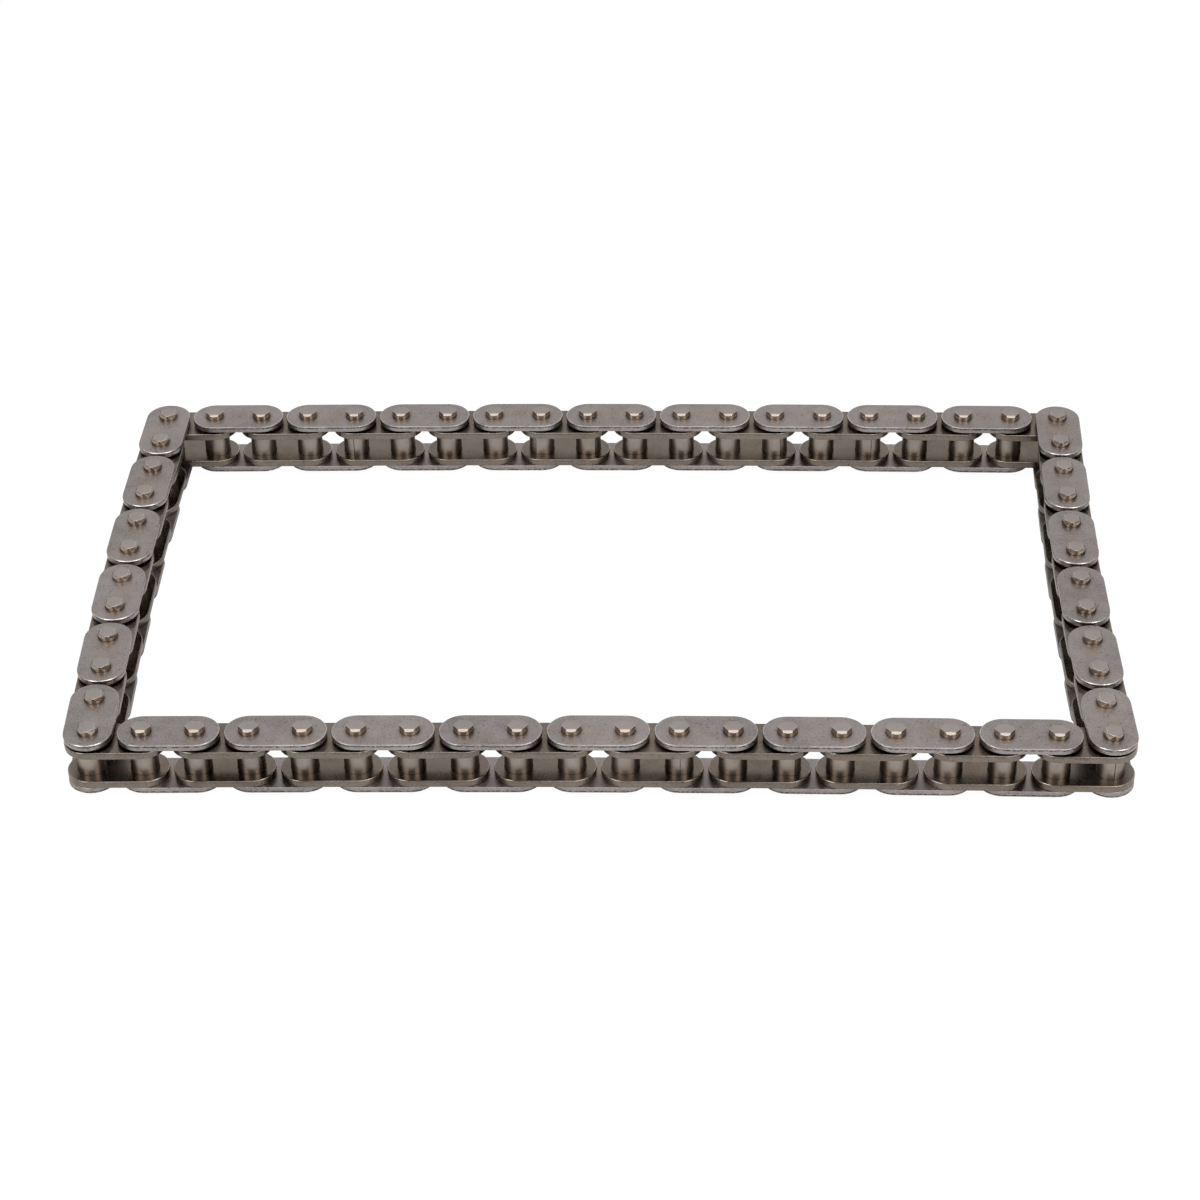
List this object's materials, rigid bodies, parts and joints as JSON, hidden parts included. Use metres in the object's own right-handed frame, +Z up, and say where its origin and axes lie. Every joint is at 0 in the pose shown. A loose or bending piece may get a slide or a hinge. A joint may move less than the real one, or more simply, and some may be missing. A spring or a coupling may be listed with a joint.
{
  "type": "bush chain",
  "caption": "Endless rollerless bush chain laid flat as a rectangular loop; outer and inner links hinge on staked pins to carry a sprocket drive.",
  "frame": {"origin": "under the middle of the loop, level with the lower ends of the pins", "axes": "+X along the two long runs, +Y along the two short runs, +Z up along the pins"},
  "size_m": [0.1908, 0.1144, 0.0131],
  "materials": {
    "outer_link_steel": "tumbled satin grey steel plates with bright staked pins",
    "inner_link_steel": "brownish oiled satin steel plates with curled steel bushes"
  },
  "bodies": {
    "inner_link_01": {"inner_link_01": "inner_link_steel"},
    "inner_link_02": {"inner_link_02": "inner_link_steel"},
    "inner_link_03": {"inner_link_03": "inner_link_steel"},
    "inner_link_04": {"inner_link_04": "inner_link_steel"},
    "inner_link_05": {"inner_link_05": "inner_link_steel"},
    "inner_link_06": {"inner_link_06": "inner_link_steel"},
    "inner_link_07": {"inner_link_07": "inner_link_steel"},
    "inner_link_08": {"inner_link_08": "inner_link_steel"},
    "inner_link_09": {"inner_link_09": "inner_link_steel"},
    "inner_link_10": {"inner_link_10": "inner_link_steel"},
    "inner_link_11": {"inner_link_11": "inner_link_steel"},
    "inner_link_12": {"inner_link_12": "inner_link_steel"},
    "inner_link_13": {"inner_link_13": "inner_link_steel"},
    "inner_link_14": {"inner_link_14": "inner_link_steel"},
    "inner_link_15": {"inner_link_15": "inner_link_steel"},
    "inner_link_16": {"inner_link_16": "inner_link_steel"},
    "inner_link_17": {"inner_link_17": "inner_link_steel"},
    "inner_link_18": {"inner_link_18": "inner_link_steel"},
    "inner_link_19": {"inner_link_19": "inner_link_steel"},
    "inner_link_20": {"inner_link_20": "inner_link_steel"},
    "inner_link_21": {"inner_link_21": "inner_link_steel"},
    "inner_link_22": {"inner_link_22": "inner_link_steel"},
    "inner_link_23": {"inner_link_23": "inner_link_steel"},
    "inner_link_24": {"inner_link_24": "inner_link_steel"},
    "inner_link_25": {"inner_link_25": "inner_link_steel"},
    "inner_link_26": {"inner_link_26": "inner_link_steel"},
    "inner_link_27": {"inner_link_27": "inner_link_steel"},
    "inner_link_28": {"inner_link_28": "inner_link_steel"},
    "inner_link_29": {"inner_link_29": "inner_link_steel"},
    "inner_link_30": {"inner_link_30": "inner_link_steel"},
    "outer_link_01": {"outer_link_01": "outer_link_steel"},
    "outer_link_02": {"outer_link_02": "outer_link_steel"},
    "outer_link_03": {"outer_link_03": "outer_link_steel"},
    "outer_link_04": {"outer_link_04": "outer_link_steel"},
    "outer_link_05": {"outer_link_05": "outer_link_steel"},
    "outer_link_06": {"outer_link_06": "outer_link_steel"},
    "outer_link_07": {"outer_link_07": "outer_link_steel"},
    "outer_link_08": {"outer_link_08": "outer_link_steel"},
    "outer_link_09": {"outer_link_09": "outer_link_steel"},
    "outer_link_10": {"outer_link_10": "outer_link_steel"},
    "outer_link_11": {"outer_link_11": "outer_link_steel"},
    "outer_link_12": {"outer_link_12": "outer_link_steel"},
    "outer_link_13": {"outer_link_13": "outer_link_steel"},
    "outer_link_14": {"outer_link_14": "outer_link_steel"},
    "outer_link_15": {"outer_link_15": "outer_link_steel"},
    "outer_link_16": {"outer_link_16": "outer_link_steel"},
    "outer_link_17": {"outer_link_17": "outer_link_steel"},
    "outer_link_18": {"outer_link_18": "outer_link_steel"},
    "outer_link_19": {"outer_link_19": "outer_link_steel"},
    "outer_link_20": {"outer_link_20": "outer_link_steel"},
    "outer_link_21": {"outer_link_21": "outer_link_steel"},
    "outer_link_22": {"outer_link_22": "outer_link_steel"},
    "outer_link_23": {"outer_link_23": "outer_link_steel"},
    "outer_link_24": {"outer_link_24": "outer_link_steel"},
    "outer_link_25": {"outer_link_25": "outer_link_steel"},
    "outer_link_26": {"outer_link_26": "outer_link_steel"},
    "outer_link_27": {"outer_link_27": "outer_link_steel"},
    "outer_link_28": {"outer_link_28": "outer_link_steel"},
    "outer_link_29": {"outer_link_29": "outer_link_steel"},
    "outer_link_30": {"outer_link_30": "outer_link_steel"}
  },
  "joints": [
    {"name": "pivot_01", "type": "hinge", "parent": "inner_link_01", "child": "outer_link_30", "pos_m": [-0.08999, -0.0528, 0.00635], "axis": [0, 0, 1], "range_deg": [-18, 18]},
    {"name": "pivot_02", "type": "hinge", "parent": "outer_link_01", "child": "inner_link_01", "pos_m": [-0.08047, -0.05266, 0.00635], "axis": [0, 0, 1], "range_deg": [-60, 60]},
    {"name": "pivot_03", "type": "hinge", "parent": "inner_link_02", "child": "outer_link_01", "pos_m": [-0.07094, -0.05252, 0.00635], "axis": [0, 0, 1], "range_deg": [-60, 60]},
    {"name": "pivot_04", "type": "hinge", "parent": "outer_link_02", "child": "inner_link_02", "pos_m": [-0.06142, -0.0524, 0.00635], "axis": [0, 0, 1], "range_deg": [-60, 60]},
    {"name": "pivot_05", "type": "hinge", "parent": "inner_link_03", "child": "outer_link_02", "pos_m": [-0.05189, -0.05228, 0.00635], "axis": [0, 0, 1], "range_deg": [-60, 60]},
    {"name": "pivot_06", "type": "hinge", "parent": "outer_link_03", "child": "inner_link_03", "pos_m": [-0.04237, -0.05217, 0.00635], "axis": [0, 0, 1], "range_deg": [-60, 60]},
    {"name": "pivot_07", "type": "hinge", "parent": "inner_link_04", "child": "outer_link_03", "pos_m": [-0.03285, -0.05209, 0.00635], "axis": [0, 0, 1], "range_deg": [-60, 60]},
    {"name": "pivot_08", "type": "hinge", "parent": "outer_link_04", "child": "inner_link_04", "pos_m": [-0.02332, -0.05202, 0.00635], "axis": [0, 0, 1], "range_deg": [-60, 60]},
    {"name": "pivot_09", "type": "hinge", "parent": "inner_link_05", "child": "outer_link_04", "pos_m": [-0.0138, -0.05197, 0.00635], "axis": [0, 0, 1], "range_deg": [-60, 60]},
    {"name": "pivot_10", "type": "hinge", "parent": "outer_link_05", "child": "inner_link_05", "pos_m": [-0.00427, -0.05195, 0.00635], "axis": [0, 0, 1], "range_deg": [-60, 60]},
    {"name": "pivot_11", "type": "hinge", "parent": "outer_link_05", "child": "inner_link_06", "pos_m": [0.00525, -0.05195, 0.00635], "axis": [0, 0, 1], "range_deg": [-60, 60]},
    {"name": "pivot_12", "type": "hinge", "parent": "inner_link_06", "child": "outer_link_06", "pos_m": [0.01478, -0.05197, 0.00635], "axis": [0, 0, 1], "range_deg": [-60, 60]},
    {"name": "pivot_13", "type": "hinge", "parent": "outer_link_06", "child": "inner_link_07", "pos_m": [0.0243, -0.05202, 0.00635], "axis": [0, 0, 1], "range_deg": [-60, 60]},
    {"name": "pivot_14", "type": "hinge", "parent": "inner_link_07", "child": "outer_link_07", "pos_m": [0.03383, -0.05209, 0.00635], "axis": [0, 0, 1], "range_deg": [-60, 60]},
    {"name": "pivot_15", "type": "hinge", "parent": "outer_link_07", "child": "inner_link_08", "pos_m": [0.04335, -0.05217, 0.00635], "axis": [0, 0, 1], "range_deg": [-60, 60]},
    {"name": "pivot_16", "type": "hinge", "parent": "inner_link_08", "child": "outer_link_08", "pos_m": [0.05288, -0.05228, 0.00635], "axis": [0, 0, 1], "range_deg": [-60, 60]},
    {"name": "pivot_17", "type": "hinge", "parent": "outer_link_08", "child": "inner_link_09", "pos_m": [0.0624, -0.0524, 0.00635], "axis": [0, 0, 1], "range_deg": [-60, 60]},
    {"name": "pivot_18", "type": "hinge", "parent": "inner_link_09", "child": "outer_link_09", "pos_m": [0.07193, -0.05252, 0.00635], "axis": [0, 0, 1], "range_deg": [-60, 60]},
    {"name": "pivot_19", "type": "hinge", "parent": "outer_link_09", "child": "inner_link_10", "pos_m": [0.08145, -0.05266, 0.00635], "axis": [0, 0, 1], "range_deg": [-60, 60]},
    {"name": "pivot_20", "type": "hinge", "parent": "inner_link_10", "child": "outer_link_10", "pos_m": [0.09097, -0.0528, 0.00635], "axis": [0, 0, 1], "range_deg": [-18, 18]},
    {"name": "pivot_21", "type": "hinge", "parent": "outer_link_10", "child": "inner_link_11", "pos_m": [0.09069, -0.04328, 0.00635], "axis": [0, 0, 1], "range_deg": [-60, 60]},
    {"name": "pivot_22", "type": "hinge", "parent": "inner_link_11", "child": "outer_link_11", "pos_m": [0.09044, -0.03376, 0.00635], "axis": [0, 0, 1], "range_deg": [-60, 60]},
    {"name": "pivot_23", "type": "hinge", "parent": "outer_link_11", "child": "inner_link_12", "pos_m": [0.09022, -0.02424, 0.00635], "axis": [0, 0, 1], "range_deg": [-60, 60]},
    {"name": "pivot_24", "type": "hinge", "parent": "inner_link_12", "child": "outer_link_12", "pos_m": [0.09007, -0.01471, 0.00635], "axis": [0, 0, 1], "range_deg": [-60, 60]},
    {"name": "pivot_25", "type": "hinge", "parent": "outer_link_12", "child": "inner_link_13", "pos_m": [0.08999, -0.00519, 0.00635], "axis": [0, 0, 1], "range_deg": [-60, 60]},
    {"name": "pivot_26", "type": "hinge", "parent": "inner_link_13", "child": "outer_link_13", "pos_m": [0.08999, 0.00434, 0.00635], "axis": [0, 0, 1], "range_deg": [-60, 60]},
    {"name": "pivot_27", "type": "hinge", "parent": "outer_link_13", "child": "inner_link_14", "pos_m": [0.09007, 0.01386, 0.00635], "axis": [0, 0, 1], "range_deg": [-60, 60]},
    {"name": "pivot_28", "type": "hinge", "parent": "inner_link_14", "child": "outer_link_14", "pos_m": [0.09022, 0.02338, 0.00635], "axis": [0, 0, 1], "range_deg": [-60, 60]},
    {"name": "pivot_29", "type": "hinge", "parent": "outer_link_14", "child": "inner_link_15", "pos_m": [0.09044, 0.03291, 0.00635], "axis": [0, 0, 1], "range_deg": [-60, 60]},
    {"name": "pivot_30", "type": "hinge", "parent": "inner_link_15", "child": "outer_link_15", "pos_m": [0.09069, 0.04243, 0.00635], "axis": [0, 0, 1], "range_deg": [-60, 60]},
    {"name": "pivot_31", "type": "hinge", "parent": "outer_link_15", "child": "inner_link_16", "pos_m": [0.09097, 0.05195, 0.00635], "axis": [0, 0, 1], "range_deg": [-18, 18]},
    {"name": "pivot_32", "type": "hinge", "parent": "inner_link_16", "child": "outer_link_16", "pos_m": [0.08145, 0.05209, 0.00635], "axis": [0, 0, 1], "range_deg": [-60, 60]},
    {"name": "pivot_33", "type": "hinge", "parent": "outer_link_16", "child": "inner_link_17", "pos_m": [0.07193, 0.05223, 0.00635], "axis": [0, 0, 1], "range_deg": [-60, 60]},
    {"name": "pivot_34", "type": "hinge", "parent": "inner_link_17", "child": "outer_link_17", "pos_m": [0.0624, 0.05236, 0.00635], "axis": [0, 0, 1], "range_deg": [-60, 60]},
    {"name": "pivot_35", "type": "hinge", "parent": "outer_link_17", "child": "inner_link_18", "pos_m": [0.05288, 0.05248, 0.00635], "axis": [0, 0, 1], "range_deg": [-60, 60]},
    {"name": "pivot_36", "type": "hinge", "parent": "inner_link_18", "child": "outer_link_18", "pos_m": [0.04335, 0.05258, 0.00635], "axis": [0, 0, 1], "range_deg": [-60, 60]},
    {"name": "pivot_37", "type": "hinge", "parent": "outer_link_18", "child": "inner_link_19", "pos_m": [0.03383, 0.05267, 0.00635], "axis": [0, 0, 1], "range_deg": [-60, 60]},
    {"name": "pivot_38", "type": "hinge", "parent": "inner_link_19", "child": "outer_link_19", "pos_m": [0.0243, 0.05273, 0.00635], "axis": [0, 0, 1], "range_deg": [-60, 60]},
    {"name": "pivot_39", "type": "hinge", "parent": "outer_link_19", "child": "inner_link_20", "pos_m": [0.01478, 0.05278, 0.00635], "axis": [0, 0, 1], "range_deg": [-60, 60]},
    {"name": "pivot_41", "type": "hinge", "parent": "inner_link_21", "child": "outer_link_20", "pos_m": [-0.00427, 0.0528, 0.00635], "axis": [0, 0, 1], "range_deg": [-60, 60]},
    {"name": "pivot_42", "type": "hinge", "parent": "outer_link_21", "child": "inner_link_21", "pos_m": [-0.0138, 0.05278, 0.00635], "axis": [0, 0, 1], "range_deg": [-60, 60]},
    {"name": "pivot_43", "type": "hinge", "parent": "inner_link_22", "child": "outer_link_21", "pos_m": [-0.02332, 0.05273, 0.00635], "axis": [0, 0, 1], "range_deg": [-60, 60]},
    {"name": "pivot_44", "type": "hinge", "parent": "outer_link_22", "child": "inner_link_22", "pos_m": [-0.03285, 0.05267, 0.00635], "axis": [0, 0, 1], "range_deg": [-60, 60]},
    {"name": "pivot_45", "type": "hinge", "parent": "inner_link_23", "child": "outer_link_22", "pos_m": [-0.04237, 0.05258, 0.00635], "axis": [0, 0, 1], "range_deg": [-60, 60]},
    {"name": "pivot_46", "type": "hinge", "parent": "outer_link_23", "child": "inner_link_23", "pos_m": [-0.05189, 0.05248, 0.00635], "axis": [0, 0, 1], "range_deg": [-60, 60]},
    {"name": "pivot_47", "type": "hinge", "parent": "inner_link_24", "child": "outer_link_23", "pos_m": [-0.06142, 0.05236, 0.00635], "axis": [0, 0, 1], "range_deg": [-60, 60]},
    {"name": "pivot_48", "type": "hinge", "parent": "outer_link_24", "child": "inner_link_24", "pos_m": [-0.07094, 0.05223, 0.00635], "axis": [0, 0, 1], "range_deg": [-60, 60]},
    {"name": "pivot_49", "type": "hinge", "parent": "inner_link_25", "child": "outer_link_24", "pos_m": [-0.08047, 0.05209, 0.00635], "axis": [0, 0, 1], "range_deg": [-60, 60]},
    {"name": "pivot_50", "type": "hinge", "parent": "outer_link_25", "child": "inner_link_25", "pos_m": [-0.08999, 0.05195, 0.00635], "axis": [0, 0, 1], "range_deg": [-18, 18]},
    {"name": "pivot_51", "type": "hinge", "parent": "inner_link_26", "child": "outer_link_25", "pos_m": [-0.09027, 0.04243, 0.00635], "axis": [0, 0, 1], "range_deg": [-60, 60]},
    {"name": "pivot_52", "type": "hinge", "parent": "outer_link_26", "child": "inner_link_26", "pos_m": [-0.09053, 0.03291, 0.00635], "axis": [0, 0, 1], "range_deg": [-60, 60]},
    {"name": "pivot_53", "type": "hinge", "parent": "inner_link_27", "child": "outer_link_26", "pos_m": [-0.09074, 0.02338, 0.00635], "axis": [0, 0, 1], "range_deg": [-60, 60]},
    {"name": "pivot_54", "type": "hinge", "parent": "outer_link_27", "child": "inner_link_27", "pos_m": [-0.09089, 0.01386, 0.00635], "axis": [0, 0, 1], "range_deg": [-60, 60]},
    {"name": "pivot_55", "type": "hinge", "parent": "inner_link_28", "child": "outer_link_27", "pos_m": [-0.09097, 0.00434, 0.00635], "axis": [0, 0, 1], "range_deg": [-60, 60]},
    {"name": "pivot_56", "type": "hinge", "parent": "outer_link_28", "child": "inner_link_28", "pos_m": [-0.09097, -0.00519, 0.00635], "axis": [0, 0, 1], "range_deg": [-60, 60]},
    {"name": "pivot_57", "type": "hinge", "parent": "inner_link_29", "child": "outer_link_28", "pos_m": [-0.09089, -0.01471, 0.00635], "axis": [0, 0, 1], "range_deg": [-60, 60]},
    {"name": "pivot_58", "type": "hinge", "parent": "outer_link_29", "child": "inner_link_29", "pos_m": [-0.09074, -0.02424, 0.00635], "axis": [0, 0, 1], "range_deg": [-60, 60]},
    {"name": "pivot_59", "type": "hinge", "parent": "inner_link_30", "child": "outer_link_29", "pos_m": [-0.09053, -0.03376, 0.00635], "axis": [0, 0, 1], "range_deg": [-60, 60]},
    {"name": "pivot_60", "type": "hinge", "parent": "outer_link_30", "child": "inner_link_30", "pos_m": [-0.09027, -0.04328, 0.00635], "axis": [0, 0, 1], "range_deg": [-60, 60]}
  ],
  "couplings": [
    {"joint": "pivot_03", "follows": "pivot_48", "ratio": -1},
    {"joint": "pivot_02", "follows": "pivot_48", "ratio": 1},
    {"joint": "pivot_49", "follows": "pivot_48", "ratio": -1},
    {"joint": "pivot_05", "follows": "pivot_46", "ratio": -1},
    {"joint": "pivot_04", "follows": "pivot_46", "ratio": 1},
    {"joint": "pivot_47", "follows": "pivot_46", "ratio": -1},
    {"joint": "pivot_07", "follows": "pivot_44", "ratio": -1},
    {"joint": "pivot_06", "follows": "pivot_44", "ratio": 1},
    {"joint": "pivot_45", "follows": "pivot_44", "ratio": -1},
    {"joint": "pivot_09", "follows": "pivot_42", "ratio": -1},
    {"joint": "pivot_08", "follows": "pivot_42", "ratio": 1},
    {"joint": "pivot_43", "follows": "pivot_42", "ratio": -1},
    {"joint": "pivot_10", "follows": "pivot_41", "ratio": -1},
    {"joint": "pivot_11", "follows": "pivot_41", "ratio": -1},
    {"joint": "pivot_12", "follows": "pivot_39", "ratio": -1},
    {"joint": "pivot_13", "follows": "pivot_39", "ratio": 1},
    {"joint": "pivot_38", "follows": "pivot_39", "ratio": -1},
    {"joint": "pivot_14", "follows": "pivot_37", "ratio": -1},
    {"joint": "pivot_15", "follows": "pivot_37", "ratio": 1},
    {"joint": "pivot_36", "follows": "pivot_37", "ratio": -1},
    {"joint": "pivot_16", "follows": "pivot_35", "ratio": -1},
    {"joint": "pivot_17", "follows": "pivot_35", "ratio": 1},
    {"joint": "pivot_34", "follows": "pivot_35", "ratio": -1},
    {"joint": "pivot_18", "follows": "pivot_33", "ratio": -1},
    {"joint": "pivot_19", "follows": "pivot_33", "ratio": 1},
    {"joint": "pivot_32", "follows": "pivot_33", "ratio": -1},
    {"joint": "pivot_21", "follows": "pivot_59", "ratio": -1},
    {"joint": "pivot_60", "follows": "pivot_59", "ratio": -1},
    {"joint": "pivot_22", "follows": "pivot_59", "ratio": 1},
    {"joint": "pivot_23", "follows": "pivot_57", "ratio": -1},
    {"joint": "pivot_58", "follows": "pivot_57", "ratio": -1},
    {"joint": "pivot_24", "follows": "pivot_57", "ratio": 1},
    {"joint": "pivot_25", "follows": "pivot_55", "ratio": -1},
    {"joint": "pivot_56", "follows": "pivot_55", "ratio": -1},
    {"joint": "pivot_26", "follows": "pivot_55", "ratio": 1},
    {"joint": "pivot_27", "follows": "pivot_53", "ratio": -1},
    {"joint": "pivot_54", "follows": "pivot_53", "ratio": -1},
    {"joint": "pivot_28", "follows": "pivot_53", "ratio": 1},
    {"joint": "pivot_29", "follows": "pivot_51", "ratio": -1},
    {"joint": "pivot_52", "follows": "pivot_51", "ratio": -1},
    {"joint": "pivot_30", "follows": "pivot_51", "ratio": 1},
    {"joint": "pivot_01", "follows": "pivot_50", "ratio": -1},
    {"joint": "pivot_20", "follows": "pivot_50", "ratio": -1},
    {"joint": "pivot_31", "follows": "pivot_50", "ratio": 1}
  ]
}
